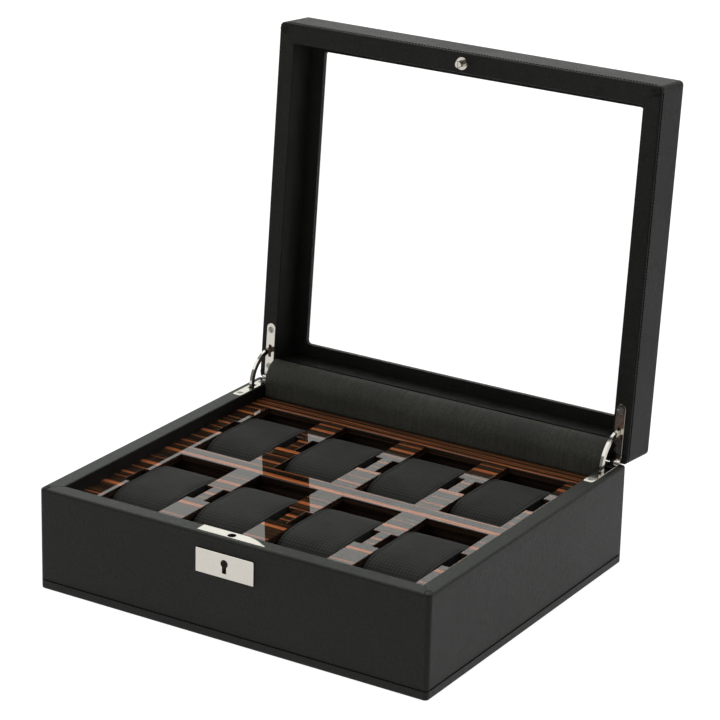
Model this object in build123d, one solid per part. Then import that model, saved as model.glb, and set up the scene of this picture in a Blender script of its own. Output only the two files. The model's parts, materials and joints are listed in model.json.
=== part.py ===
from build123d import *
import os
from math import asin, atan2, cos, degrees, hypot, radians, sin

# Lockable display box for eight watches: a leatherette-covered base with a veneered deck and
# lift-out cushions, and a deep window lid on two side-rail quadrant hinges.
# Frame: millimetres, +X to the right, +Y to the back, +Z up. The origin is the middle of the
# base's underside, on the surface it stands on. The lid is built shut and then turned open.

# ---------------------------------------------------------------- driving dimensions
WIDTH = 330.0
DEPTH = 288.0
BASE_HEIGHT = 79.5
LID_HEIGHT = 38.8
RIM_GAP = 0.4              # daylight between the two rims when the lid is shut
OPEN_ANGLE = 94.6          # how far the stays let the lid open

SKIN = 0.8                 # leatherette with its backing
BASE_WALL = 13.5           # wall thickness over the leatherette
LID_SIDE_WALL = 14.0
LID_FRONT_WALL = 15.5
LID_REAR_WALL = 17.0
CORNER_RADIUS = 3.5        # upright corner edges
RIM_RADIUS = 2.0           # outer edge of each rim
REAR_RADIUS = 3.0          # the two rear rim edges, which turn past each other
LIP_RADIUS = 1.0           # inner edge of each rim
LID_TOP_RADIUS = 3.4
FOOT_RADIUS = 1.5          # lower edge of the base's covering

SEAM_DEPTH = 0.45          # stitched channel pressed into the leatherette
SEAM_HALF = 0.5
BASE_SEAM = 7.5            # seam above the surface, and the lid's seam from its rim
LID_SEAM = 3.5
CREASE_DEPTH = 0.3         # mitred fold across each rim corner
CREASE_WIDTH = 0.35

FELT = 1.0
SKIN_FOOT = 0.3            # the covering is turned in this far above the surface
FELT_INSET = 4.0           # border of turned-in covering round the felt
FLOOR_TOP = 10.0
BED_TOP = 19.5             # foam bed under the lining
LINING_TOP = 20.5
FIT = 0.2                  # assembly clearance round boards and linings

DECK_TOP = 69.2
DECK_THICKNESS = 5.0
DECK_EDGE = 0.3            # eased edges of the lacquered openings
COLUMNS = 4
COLUMN_PITCH = 72.2
OPENING_WIDTH = 51.1
OPENING_LENGTH = 104.0
FIRST_ROW_FRONT = -113.3
ROW_BAR = 16.6             # deck between the two rows
NOTCH_DEPTH = 6.0
NOTCH_LENGTH = 26.0

CUSHION_WIDTH = 49.4
CUSHION_LENGTH = 86.0
CUSHION_HEIGHT = 49.8
CUSHION_END_RADIUS = 21.0
CUSHION_SIDE_RADIUS = 1.6

WINDOW_SIDE_MARGIN = 25.5
WINDOW_FRONT_MARGIN = 23.0
WINDOW_REAR_MARGIN = 27.3
WINDOW_LIP_START = 27.0    # depth below the lid's rim plane where the window lip begins
WINDOW_LIP = 4.0
WINDOW_RADIUS = 3.0
GLASS = 3.0
SEAL = 0.5
REBATE = 10.5              # how far the glass rebate is wider than the window, each side
BEAD_INSET_LOW = 3.0       # bead opening past the window at the glass, and at the outside
BEAD_INSET_HIGH = 6.0

HINGE_SETBACK = 1.0        # hinge axis in front of the rear face
HINGE_X = 156.4            # middle of each hinge leaf
LEAF_WIDTH = 8.0
LEAF_LENGTH = 45.5
LEAF_THICKNESS = 1.2
LEAF_BEVEL = 0.25
SLOT_NEAR = 17.7           # stay slot, measured from the hinge axis
SLOT_FAR = 27.8
KNUCKLE_RADIUS = 2.6
KNUCKLE_SWEEP = 2.95       # cleared round a knuckle that turns
KNUCKLE_INNER = 1.4        # half width of the gap for the lid's knuckle
KNUCKLE_MIDDLE = 1.2       # half width of the lid's knuckle
PIN_RADIUS = 0.8
PIN_RUNNING = 0.05
SCREW_DISTANCES = (10.0, 40.0)
SCREW_HEAD = 2.6
SCREW_SHANK = 1.1
SCREW_LENGTH = 9.0

STAY_INNER = 21.5
STAY_OUTER = 25.5
STAY_THICKNESS = 2.2
STAY_OVERRUN = 10.0        # degrees of arm past the leaf at each end
STOP_PIN_RADIUS = 1.0
STOP_PIN_DROP = 2.6        # stop pin past each leaf's plane through the axis, lid open
STOP_PIN_HALF = 2.8
POCKET_CLEAR = 0.6
POCKET_HALF = 3.2
POCKET_ANGLE = 62.0

LOCK_X = -1.5
LOCK_Y = -135.8            # middle of the lock case and of the stud's hole
KEY_Z = 61.0
KEY_RADIUS = 3.1
KEY_SLOT = 3.6
KEY_BOTTOM = 53.5
ESCUTCHEON = (49.0, 18.4, 1.2)
ESCUTCHEON_Z = 59.0
PLATE_LEFT = -28.5
PLATE_RIGHT = 28.0
PLATE_FRONT = -139.6
PLATE_THICKNESS = 1.5
CATCH_RADIUS = 3.2
CASE_HALF_WIDTH = 22.0
CASE_BOTTOM = 51.0
CASE_FRONT = -140.5
CASE_BACK = -131.6
CASE_WALL = 1.0
BOLT_SHELF = 65.0          # height of the ledges the bolt slides on
BOLT_BOTTOM = 65.2
BOLT_TOP = 77.05
BOLT_REACH = 16.0          # from the catch hole's middle to the bolt's end
FORK_THICKNESS = 1.5       # the two prongs that close behind the stud's head
FORK_HALF = 3.0
FORK_GAP = 1.95            # half the space between the prongs
DRIVER_TOP = 70.0          # the bolt's bar that the rotor's finger pushes
DRIVER_HALF = 2.5
STUD_FLANGE = 4.8
STUD_FLANGE_THICKNESS = 1.4
STUD_RADIUS = 2.7
STUD_NECK = 1.6
STUD_LENGTH = 6.0
ROTOR_RADIUS = 3.5
FRONT_JOURNAL = 3.0
BACK_JOURNAL = 2.0
JOURNAL_RUNNING = 0.05
FINGER_REACH = 6.5

GUSSET_THICKNESS = 1.0
GUSSET_CLEAR = 0.3         # flap above the lid's inner edge

# ---------------------------------------------------------------- worked out from those
HALF_W = WIDTH / 2
HALF_D = DEPTH / 2
HINGE_Y = HALF_D - HINGE_SETBACK
HINGE_Z = BASE_HEIGHT + RIM_GAP / 2
HINGE_AXIS = Axis((0, HINGE_Y, HINGE_Z), (1, 0, 0))
LID_RIM = BASE_HEIGHT + RIM_GAP
LID_TOP = LID_RIM + LID_HEIGHT
INNER_X = HALF_W - BASE_WALL
INNER_Y = HALF_D - BASE_WALL
LID_INNER_X = HALF_W - LID_SIDE_WALL
LID_INNER_FRONT = -HALF_D + LID_FRONT_WALL
LID_INNER_REAR = HALF_D - LID_REAR_WALL
LIP_BOTTOM = LID_RIM + WINDOW_LIP_START
LIP_TOP = LIP_BOTTOM + WINDOW_LIP
GLASS_BOTTOM = LIP_TOP + SEAL
GLASS_TOP = GLASS_BOTTOM + GLASS
DECK_BOTTOM = DECK_TOP - DECK_THICKNESS
GUSSET_FRONT = INNER_Y - FIT - GUSSET_THICKNESS
DECK_REAR = GUSSET_FRONT - FIT
COLUMN_X = [(i - (COLUMNS - 1) / 2) * COLUMN_PITCH for i in range(COLUMNS)]
ROW_FRONT = {
    "front": FIRST_ROW_FRONT,
    "rear": FIRST_ROW_FRONT + OPENING_LENGTH + ROW_BAR,
}
STOP_PIN_RING = (STAY_INNER + STAY_OUTER) / 2
LEAF_BOTTOM = BASE_HEIGHT - LEAF_THICKNESS
SIDES = {"left": -1, "right": 1}

parts = {}


# ---------------------------------------------------------------- helpers
def block(x0, x1, y0, y1, z0, z1):
    """A box between two corners."""
    centre = Pos((x0 + x1) / 2, (y0 + y1) / 2, (z0 + z1) / 2)
    return centre * Box(x1 - x0, y1 - y0, z1 - z0)


def prism(points, z0, z1):
    """An upright prism over an outline given in X and Y."""
    outline = make_face(Polyline(*points, close=True))
    return extrude(Pos(0, 0, z0) * outline, z1 - z0)


def rod_x(radius, x0, x1, y, z):
    """A round bar along X."""
    return Pos((x0 + x1) / 2, y, z) * Rot(0, 90, 0) * Cylinder(radius, x1 - x0)


def rod_y(radius, y0, y1, x, z):
    """A round bar along Y."""
    return Pos(x, (y0 + y1) / 2, z) * Rot(90, 0, 0) * Cylinder(radius, y1 - y0)


def rod_z(radius, z0, z1, x, y):
    """A round bar along Z."""
    return Pos(x, y, (z0 + z1) / 2) * Cylinder(radius, z1 - z0)


def around_hinge(inner, outer, start, end, x0, x1):
    """A ring sector about the hinge axis, in degrees from +Y towards +Z."""
    def polar(radius, angle):
        return (radius * cos(radians(angle)), radius * sin(radians(angle)))

    middle = (start + end) / 2
    outline = [
        Line(polar(inner, start), polar(outer, start)),
        ThreePointArc(polar(outer, start), polar(outer, middle), polar(outer, end)),
        Line(polar(outer, end), polar(inner, end)),
        ThreePointArc(polar(inner, end), polar(inner, middle), polar(inner, start)),
    ]
    side_view = Plane(origin=(x0, HINGE_Y, HINGE_Z), x_dir=(0, 1, 0), z_dir=(1, 0, 0))
    return extrude(side_view * make_face(outline), x1 - x0)


def open_lid(shape):
    """Turns a piece of the shut lid to where the stays hold it."""
    return shape.rotate(HINGE_AXIS, -OPEN_ANGLE)


def flip_to_lid(shape):
    """Mirrors a piece of a base hinge leaf onto the shut lid's rim."""
    return shape.mirror(Plane.XY.offset(HINGE_Z))


def cut(shape, tools):
    """Takes every tool out of a shape."""
    for tool in tools:
        shape = shape - tool
    return shape


def plan_block(inset, z0, z1):
    """A block over the whole plan, drawn in by an inset, its upright corners rounded to suit."""
    body = block(-HALF_W + inset, HALF_W - inset, -HALF_D + inset, HALF_D - inset, z0, z1)
    return fillet(body.edges().filter_by(Axis.Z), CORNER_RADIUS - inset)


def rounded_frame(z0, z1, rim_face, far_radius, hollow):
    """A covered frame: outer block less its hollow, with the rim's and the far face's edges rounded.

    rim_face picks the rim: -1 for the top face, 0 for the bottom face.
    """
    body = plan_block(0, z0, z1)
    rim = body.faces().sort_by(Axis.Z)[rim_face]
    body = fillet(rim.edges(), RIM_RADIUS)
    far_face = body.faces().sort_by(Axis.Z)[-1 - rim_face]
    body = fillet(far_face.edges(), far_radius)
    body = body - hollow
    rim = body.faces().sort_by(Axis.Z)[rim_face]
    return fillet(rim.inner_wires()[0].edges(), LIP_RADIUS)


def seam_channel(z):
    """A shallow stitched channel round the outside, at one height."""
    z0, z1 = z - SEAM_HALF, z + SEAM_HALF
    around = block(-HALF_W - 1, HALF_W + 1, -HALF_D - 1, HALF_D + 1, z0, z1)
    return around - plan_block(SEAM_DEPTH, z0, z1)


def mitre_creases(inner_x, inner_front, inner_rear, z):
    """Folded creases across the corners of a rim, from each inner corner to the outer one."""
    creases = []
    for side in SIDES.values():
        for outer_y, inner_y in ((-HALF_D, inner_front), (HALF_D, inner_rear)):
            dx, dy = HALF_W - inner_x, outer_y - inner_y
            turn = degrees(atan2(dy, side * dx))
            middle = Pos(side * (HALF_W + inner_x) / 2, (outer_y + inner_y) / 2, z)
            crease = Box(hypot(dx, dy) + 2, CREASE_WIDTH, 2 * CREASE_DEPTH)
            creases.append(middle * Rot(0, 0, turn) * crease)
    return creases


def rear_edge_round(inset, is_lid):
    """The sliver that rounds a rear rim edge, so that lid and base can turn past each other."""
    radius = REAR_RADIUS - inset
    y, z = HALF_D - inset - radius, BASE_HEIGHT - inset - radius
    corner = block(-HALF_W, HALF_W, y, HALF_D, z, BASE_HEIGHT)
    sliver = corner - rod_x(radius, -HALF_W - 1, HALF_W + 1, y, z)
    return flip_to_lid(sliver) if is_lid else sliver


def wall_boards(prefix, inner_x, inner_front, inner_rear, z0, z1, tools):
    """Four boards mitred at the corners, inside the covering."""
    x, y = HALF_W - SKIN, HALF_D - SKIN
    corners_out = [(-x, -y), (x, -y), (x, y), (-x, y)]
    corners_in = [
        (-inner_x - SKIN, inner_front - SKIN),
        (inner_x + SKIN, inner_front - SKIN),
        (inner_x + SKIN, inner_rear + SKIN),
        (-inner_x - SKIN, inner_rear + SKIN),
    ]
    inside = plan_block(SKIN, z0, z1)
    boards = {}
    for i, name in enumerate(("front", "right", "rear", "left")):
        j = (i + 1) % 4
        outline = [corners_out[i], corners_out[j], corners_in[j], corners_in[i]]
        boards[f"{prefix}_{name}"] = cut(prism(outline, z0, z1) & inside, tools)
    return boards


# ---------------------------------------------------------------- hinges
def leaf_plate(side, is_lid, grow=0.0, rear=HINGE_Y, top=BASE_HEIGHT):
    """The flat of a leaf, in the base's position, its front end rounded."""
    x = side * HINGE_X
    half = LEAF_WIDTH / 2 + grow
    plate = block(x - half, x + half, HINGE_Y - LEAF_LENGTH - grow, rear, LEAF_BOTTOM, top)
    front = plate.edges().filter_by(Axis.Z).sort_by(Axis.Y)[0:2]
    return fillet(front, (3.9 if is_lid else 1.5) + grow)


def screw_places(side):
    """Where a leaf's screws stand, in X and Y."""
    return [(side * HINGE_X, HINGE_Y - distance) for distance in SCREW_DISTANCES]


def screw(x, y, turn):
    """A countersunk screw with a slotted head, its top level with the base rim."""
    head = Pos(x, y, BASE_HEIGHT - LEAF_THICKNESS / 2) * Cone(SCREW_SHANK, SCREW_HEAD, LEAF_THICKNESS)
    shank = rod_z(SCREW_SHANK, BASE_HEIGHT - SCREW_LENGTH, LEAF_BOTTOM, x, y)
    slot = Pos(x, y, BASE_HEIGHT) * Rot(0, 0, turn) * Box(2 * SCREW_HEAD, 0.7, 0.9)
    return head + shank - slot


def screw_hole(x, y):
    """The countersink and pilot that a screw sits in."""
    clear = 0.04
    sink = Cone(SCREW_SHANK + clear, SCREW_HEAD + clear, LEAF_THICKNESS)
    pilot = rod_z(SCREW_SHANK + clear, BASE_HEIGHT - SCREW_LENGTH - 0.5, BASE_HEIGHT, x, y)
    return Pos(x, y, BASE_HEIGHT - LEAF_THICKNESS / 2) * sink + pilot


def bevelled_plate(side, is_lid):
    """The leaf's flat with its show edges bevelled."""
    plate = leaf_plate(side, is_lid)
    return chamfer(plate.faces().sort_by(Axis.Z)[-1].edges(), LEAF_BEVEL)


def hinge_leaf(side, is_lid):
    """One leaf: plate, stay slot, countersinks and its knuckles, in the base's position."""
    x = side * HINGE_X
    half = LEAF_WIDTH / 2
    if is_lid:
        own = [(-KNUCKLE_MIDDLE, KNUCKLE_MIDDLE)]
        other = [(-half - 0.1, -KNUCKLE_MIDDLE), (KNUCKLE_MIDDLE, half + 0.1)]
    else:
        own = [(-half, -KNUCKLE_INNER), (KNUCKLE_INNER, half)]
        other = [(-KNUCKLE_INNER, KNUCKLE_INNER)]
    leaf = bevelled_plate(side, is_lid)
    for start, end in other:
        leaf = leaf - rod_x(KNUCKLE_SWEEP, x + start, x + end, HINGE_Y, HINGE_Z)
    for start, end in own:
        leaf = leaf + rod_x(KNUCKLE_RADIUS, x + start, x + end, HINGE_Y, HINGE_Z)
    bore = PIN_RADIUS + PIN_RUNNING if is_lid else PIN_RADIUS
    leaf = leaf - rod_x(bore, x - half, x + half, HINGE_Y, HINGE_Z)
    slot_half = STAY_THICKNESS / 2 + 0.25
    leaf = leaf - block(x - slot_half, x + slot_half, HINGE_Y - SLOT_FAR, HINGE_Y - SLOT_NEAR,
                        LEAF_BOTTOM - 1, BASE_HEIGHT + 1)
    return cut(leaf, [screw_hole(*place) for place in screw_places(side)])


def hinge_cutters(side, is_lid):
    """What a leaf's wall gives up: leaf bed, knuckle room, stay pocket and screw pilots."""
    x = side * HINGE_X
    half = LEAF_WIDTH / 2 + 0.05
    bed = leaf_plate(side, is_lid, grow=0.05, rear=HALF_D + 1, top=LID_RIM + 3)
    knuckle = rod_x(KNUCKLE_SWEEP + 0.1, x - half, x + half, HINGE_Y, HINGE_Z)
    pocket = around_hinge(STAY_INNER - POCKET_CLEAR, STAY_OUTER + POCKET_CLEAR, 180,
                          180 + POCKET_ANGLE, x - POCKET_HALF, x + POCKET_HALF)
    tools = [bed, knuckle, pocket] + [screw_hole(*place) for place in screw_places(side)]
    return [flip_to_lid(tool) for tool in tools] if is_lid else tools


def add_hinges():
    """Leaves, pins, screws and the quadrant stays, left and right."""
    base_screws, lid_screws = [], []
    pin_tilt = degrees(asin(STOP_PIN_DROP / STOP_PIN_RING))
    first = 180 - OPEN_ANGLE - STAY_OVERRUN
    last = 180 + STAY_OVERRUN
    for name, side in SIDES.items():
        x = side * HINGE_X
        half = LEAF_WIDTH / 2
        parts[f"hinge_base_leaf_{name}"] = hinge_leaf(side, False)
        parts[f"hinge_lid_leaf_{name}"] = open_lid(flip_to_lid(hinge_leaf(side, True)))
        parts[f"hinge_pin_{name}"] = rod_x(PIN_RADIUS, x - half, x + half, HINGE_Y, HINGE_Z)
        for turn, (sx, sy) in zip((35, -25), screw_places(side)):
            base_screws.append(screw(sx, sy, turn * side))
            lid_screws.append(open_lid(flip_to_lid(screw(sx, sy, turn * side + 40))))
        arm = around_hinge(STAY_INNER, STAY_OUTER, first, last,
                           x - STAY_THICKNESS / 2, x + STAY_THICKNESS / 2)
        pins = []
        for angle in (180 - OPEN_ANGLE - pin_tilt, 180 + pin_tilt):
            y = HINGE_Y + STOP_PIN_RING * cos(radians(angle))
            z = HINGE_Z + STOP_PIN_RING * sin(radians(angle))
            pins.append(rod_x(STOP_PIN_RADIUS, x - STOP_PIN_HALF, x + STOP_PIN_HALF, y, z))
        parts[f"stay_arm_{name}"] = cut(arm, pins)
        parts[f"stay_stop_pins_{name}"] = Compound(children=pins)
    parts["hinge_base_screws"] = Compound(children=base_screws)
    parts["hinge_lid_screws"] = Compound(children=lid_screws)


# ---------------------------------------------------------------- lock
def keyhole(y0, y1, grow):
    """Keyhole shape through a plate: a round top and a narrow slot below it."""
    half = KEY_SLOT / 2 + grow
    slot = block(LOCK_X - half, LOCK_X + half, y0, y1, KEY_BOTTOM - grow, KEY_Z)
    return rod_y(KEY_RADIUS + grow, y0, y1, LOCK_X, KEY_Z) + slot


def face_plate():
    """The lock's plate let into the front rim: square at one end, swept away at the other."""
    rear = -INNER_Y - 0.2
    swept_from, swept_to = (8.0, rear), (24.2, PLATE_FRONT + 3.0)
    outline = [
        Line((PLATE_LEFT, PLATE_FRONT), (PLATE_RIGHT, PLATE_FRONT)),
        Line((PLATE_RIGHT, PLATE_FRONT), (PLATE_RIGHT, PLATE_FRONT + 1.3)),
        Line((PLATE_RIGHT, PLATE_FRONT + 1.3), swept_to),
        ThreePointArc(swept_to, (17.2, rear - 2.2), swept_from),
        Line(swept_from, (PLATE_LEFT, rear)),
        Line((PLATE_LEFT, rear), (PLATE_LEFT, PLATE_FRONT)),
    ]
    bottom = BASE_HEIGHT - PLATE_THICKNESS
    return extrude(Pos(0, 0, bottom) * make_face(outline), PLATE_THICKNESS)


def catch_hole():
    """The round hole that the lid's stud drops into."""
    return rod_z(CATCH_RADIUS, CASE_BOTTOM + 15, BASE_HEIGHT + 1, LOCK_X, LOCK_Y)


def lock_cutters():
    """What the lock takes out of the front wall."""
    case = block(LOCK_X - CASE_HALF_WIDTH, LOCK_X + CASE_HALF_WIDTH, CASE_FRONT, CASE_BACK,
                 CASE_BOTTOM, BASE_HEIGHT - PLATE_THICKNESS)
    return [case, face_plate(), keyhole(-HALF_D - 1, CASE_FRONT, 0.5)]


def add_lock():
    """Escutcheon, face plate, case, key rotor and forked bolt, shown unlocked."""
    width, height, thickness = ESCUTCHEON
    plate = block(LOCK_X - width / 2, LOCK_X + width / 2, -HALF_D - thickness, -HALF_D,
                  ESCUTCHEON_Z - height / 2, ESCUTCHEON_Z + height / 2)
    plate = fillet(plate.edges().filter_by(Axis.Y), 0.6)
    plate = chamfer(plate.faces().sort_by(Axis.Y)[0].edges(), 0.25)
    parts["escutcheon"] = plate - keyhole(-HALF_D - 2, -HALF_D + 1, 0)
    parts["lock_face_plate"] = face_plate() - catch_hole()

    top = BASE_HEIGHT - PLATE_THICKNESS
    front, back = CASE_FRONT + CASE_WALL, CASE_BACK - CASE_WALL
    case = block(LOCK_X - CASE_HALF_WIDTH, LOCK_X + CASE_HALF_WIDTH, CASE_FRONT, CASE_BACK,
                 CASE_BOTTOM, top)
    bolt_room = block(LOCK_X - CASE_HALF_WIDTH + CASE_WALL, LOCK_X + CASE_HALF_WIDTH - CASE_WALL,
                      front, back, BOLT_SHELF, top - 0.6)
    rotor_room = block(LOCK_X - 7.5, LOCK_X + 7.5, front, back, CASE_BOTTOM + CASE_WALL, BOLT_SHELF)
    front_bore = rod_y(FRONT_JOURNAL + JOURNAL_RUNNING, CASE_FRONT - 1, front + 0.1, LOCK_X, KEY_Z)
    back_bore = rod_y(BACK_JOURNAL + JOURNAL_RUNNING, back - 0.1, CASE_BACK + 1, LOCK_X, KEY_Z)
    parts["lock_case"] = cut(case, [bolt_room + rotor_room, catch_hole(), front_bore, back_bore])

    rotor = rod_y(ROTOR_RADIUS, front + 0.3, back - 0.3, LOCK_X, KEY_Z)
    rotor = rotor + rod_y(FRONT_JOURNAL, CASE_FRONT, front + 0.3, LOCK_X, KEY_Z)
    rotor = rotor + rod_y(BACK_JOURNAL, back - 0.3, CASE_BACK, LOCK_X, KEY_Z)
    finger = block(LOCK_X - 0.8, LOCK_X + 0.8, LOCK_Y - 2, LOCK_Y + 2, KEY_Z + 2, KEY_Z + FINGER_REACH)
    finger = finger.rotate(Axis((LOCK_X, 0, KEY_Z), (0, 1, 0)), 45)
    key_way = rod_y(1.5, CASE_FRONT - 1, back - 1, LOCK_X, KEY_Z)
    key_way = key_way + block(LOCK_X - 0.7, LOCK_X + 0.7, CASE_FRONT - 1, back - 1, KEY_Z - 2.6, KEY_Z)
    parts["lock_rotor"] = rotor + finger - key_way

    fork_tip = LOCK_X + STUD_RADIUS + 0.5
    bolt_right = LOCK_X + BOLT_REACH
    fork_bottom = BOLT_TOP - FORK_THICKNESS
    fork = block(fork_tip, bolt_right, LOCK_Y - FORK_HALF, LOCK_Y + FORK_HALF, fork_bottom, BOLT_TOP)
    fork = fork - block(fork_tip - 1, fork_tip + 5, LOCK_Y - FORK_GAP, LOCK_Y + FORK_GAP,
                        fork_bottom - 1, BOLT_TOP + 1)
    leg = block(bolt_right - 5, bolt_right, LOCK_Y - DRIVER_HALF, LOCK_Y + DRIVER_HALF,
                BOLT_BOTTOM, fork_bottom)
    driver = block(LOCK_X - 8, bolt_right, LOCK_Y - DRIVER_HALF, LOCK_Y + DRIVER_HALF,
                   BOLT_BOTTOM, DRIVER_TOP)
    finger_notch = block(LOCK_X - 1.9, LOCK_X + 6.2, LOCK_Y - FORK_HALF, LOCK_Y + FORK_HALF,
                         BOLT_BOTTOM - 1, DRIVER_TOP - 1.6)
    parts["lock_bolt"] = fork + leg + driver - finger_notch


def stud_cutter(grow):
    """The stud's flange and its shank up into the lid's front wall, lid shut."""
    flange = rod_z(STUD_FLANGE + grow, LID_RIM, LID_RIM + STUD_FLANGE_THICKNESS, LOCK_X, LOCK_Y)
    shank = rod_z(1.6 + grow, LID_RIM, LID_RIM + 10, LOCK_X, LOCK_Y)
    return flange + shank


def add_stud():
    """The striker: a flanged post with a neck behind its slotted head."""
    head_length = 1.3
    tip = LID_RIM - STUD_LENGTH
    stud = stud_cutter(0)
    stud = stud + rod_z(STUD_RADIUS, LID_RIM - 2.1, LID_RIM, LOCK_X, LOCK_Y)
    stud = stud + rod_z(STUD_NECK, tip + head_length, LID_RIM - 2.1, LOCK_X, LOCK_Y)
    head = rod_z(STUD_RADIUS, tip, tip + head_length, LOCK_X, LOCK_Y)
    head = chamfer(head.faces().sort_by(Axis.Z)[0].edges(), 0.4)
    slot = block(LOCK_X - 0.45, LOCK_X + 0.45, LOCK_Y - 4, LOCK_Y + 4, tip - 0.1, tip + 0.8)
    parts["striker_stud"] = open_lid(stud + head - slot)


# ---------------------------------------------------------------- base
def add_base():
    """Boards, covering, bottom and underside felt."""
    tools = lock_cutters()
    for side in SIDES.values():
        tools += hinge_cutters(side, is_lid=False)
    hollow = block(-INNER_X, INNER_X, -INNER_Y, INNER_Y, -1, BASE_HEIGHT + 1)
    body = rounded_frame(SKIN_FOOT, BASE_HEIGHT, -1, FOOT_RADIUS, hollow)
    body = body - rear_edge_round(0, is_lid=False)
    board_round = rear_edge_round(SKIN, is_lid=False)
    felt_x, felt_y = HALF_W - FELT_INSET, HALF_D - FELT_INSET
    felt = block(-felt_x, felt_x, -felt_y, felt_y, 0, FELT)
    core = plan_block(SKIN, FELT, BASE_HEIGHT - SKIN) - board_round
    core = core - block(-INNER_X - SKIN, INNER_X + SKIN, -INNER_Y - SKIN, INNER_Y + SKIN,
                        FLOOR_TOP, BASE_HEIGHT)
    core = core + felt
    creases = mitre_creases(INNER_X, -INNER_Y, INNER_Y, BASE_HEIGHT)
    parts["base_cover"] = cut(body - core, tools + creases + [seam_channel(BASE_SEAM)])
    parts.update(wall_boards("base_wall", INNER_X, -INNER_Y, INNER_Y, FELT, BASE_HEIGHT - SKIN,
                             tools + [board_round]))
    x, y = INNER_X + SKIN - 0.1, INNER_Y + SKIN - 0.1
    parts["base_floor"] = block(-x, x, -y, y, FELT, FLOOR_TOP)
    parts["underside_felt"] = felt


def add_wells():
    """Foam bed, lining, liner boards and the halved dividers under the deck."""
    x, front = INNER_X - FIT, -INNER_Y + FIT
    rear = INNER_Y - FIT
    parts["cushion_bed_foam"] = block(-x, x, front, rear, FLOOR_TOP, BED_TOP)
    parts["well_lining"] = block(-x, x, front, rear, BED_TOP, LINING_TOP)
    side_x = COLUMN_X[-1] + OPENING_WIDTH / 2 + NOTCH_DEPTH + 0.8
    front_y = FIRST_ROW_FRONT - 3.0
    rear_y = ROW_FRONT["rear"] + OPENING_LENGTH + 3.0
    z0, z1 = LINING_TOP, DECK_BOTTOM
    parts["well_liner_left"] = block(-x, -side_x, front_y, rear_y, z0, z1)
    parts["well_liner_right"] = block(side_x, x, front_y, rear_y, z0, z1)
    parts["well_liner_front"] = block(-x, x, front, front_y, z0, z1)
    parts["well_liner_rear"] = block(-x, x, rear_y, rear, z0, z1)

    long_y = ROW_FRONT["front"] + OPENING_LENGTH + ROW_BAR / 2
    long_half, cross_half = 6.0, 4.0
    half_joint = (z0 + z1) / 2
    long_board = block(-side_x, side_x, long_y - long_half, long_y + long_half, z0, z1)
    for i in range(COLUMNS - 1):
        cross_x = (COLUMN_X[i] + COLUMN_X[i + 1]) / 2
        cross = block(cross_x - cross_half, cross_x + cross_half, front_y, rear_y, z0, z1)
        cross = cross - block(cross_x - cross_half, cross_x + cross_half, long_y - long_half,
                              long_y + long_half, half_joint, z1)
        parts[f"divider_cross_{i + 1}"] = cross
        long_board = long_board - block(cross_x - cross_half, cross_x + cross_half,
                                        long_y - long_half, long_y + long_half, z0, half_joint)
    parts["divider_long"] = long_board


def opening_cut(x, front):
    """One cushion opening with a finger notch half way along each side."""
    half = OPENING_WIDTH / 2
    rear = front + OPENING_LENGTH
    middle = front + 38.2 + NOTCH_LENGTH / 2
    opening = block(x - half, x + half, front, rear, DECK_BOTTOM - 1, DECK_TOP + 1)
    notch = block(x - half - NOTCH_DEPTH, x + half + NOTCH_DEPTH, middle - NOTCH_LENGTH / 2,
                  middle + NOTCH_LENGTH / 2, DECK_BOTTOM - 1, DECK_TOP + 1)
    return opening + notch


def cushion(x, front):
    """A watch cushion: an oval block across the opening, its four long edges eased."""
    middle = front + OPENING_LENGTH / 2
    bottom = LINING_TOP + FIT
    body = block(x - CUSHION_WIDTH / 2, x + CUSHION_WIDTH / 2, middle - CUSHION_LENGTH / 2,
                 middle + CUSHION_LENGTH / 2, bottom, bottom + CUSHION_HEIGHT)
    body = fillet(body.edges().filter_by(Axis.X), CUSHION_END_RADIUS)
    ends = body.faces().filter_by(Axis.X)
    return fillet(ends.edges(), CUSHION_SIDE_RADIUS)


def add_deck_and_cushions():
    """The veneered deck panel and one cushion in each opening."""
    deck = block(-INNER_X + FIT, INNER_X - FIT, -INNER_Y + FIT, DECK_REAR, DECK_BOTTOM, DECK_TOP)
    for row, front in ROW_FRONT.items():
        for i, x in enumerate(COLUMN_X):
            deck = deck - opening_cut(x, front)
            parts[f"cushion_{row}_{i + 1}"] = cushion(x, front)
    top = deck.faces().sort_by(Axis.Z)[-1]
    opening_edges = [edge for wire in top.inner_wires() for edge in wire.edges()]
    parts["deck_panel"] = chamfer(opening_edges, DECK_EDGE)


# ---------------------------------------------------------------- lid
def window_block(grow, z0, z1, radius):
    """A block over the window, grown outwards, with rounded upright corners."""
    body = block(-HALF_W + WINDOW_SIDE_MARGIN - grow, HALF_W - WINDOW_SIDE_MARGIN + grow,
                 -HALF_D + WINDOW_FRONT_MARGIN - grow, HALF_D - WINDOW_REAR_MARGIN + grow, z0, z1)
    return fillet(body.edges().filter_by(Axis.Z), radius)


def glass_bead():
    """The bead that holds the glass from outside, its opening bevelled outwards."""
    z0, z1 = GLASS_TOP, LID_TOP
    width = WIDTH - 2 * WINDOW_SIDE_MARGIN
    length = DEPTH - WINDOW_FRONT_MARGIN - WINDOW_REAR_MARGIN
    centre_y = (WINDOW_FRONT_MARGIN - WINDOW_REAR_MARGIN) / 2
    low = Pos(0, centre_y, z0) * Rectangle(width + 2 * BEAD_INSET_LOW, length + 2 * BEAD_INSET_LOW)
    high = Pos(0, centre_y, z1) * Rectangle(width + 2 * BEAD_INSET_HIGH, length + 2 * BEAD_INSET_HIGH)
    opening = loft([low, high])
    bead = window_block(REBATE - 0.1, z0, z1, WINDOW_RADIUS) - opening
    outer = bead.faces().sort_by(Axis.Z)[-1].inner_wires()[0].edges()
    return fillet(outer, 0.8)


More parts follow.
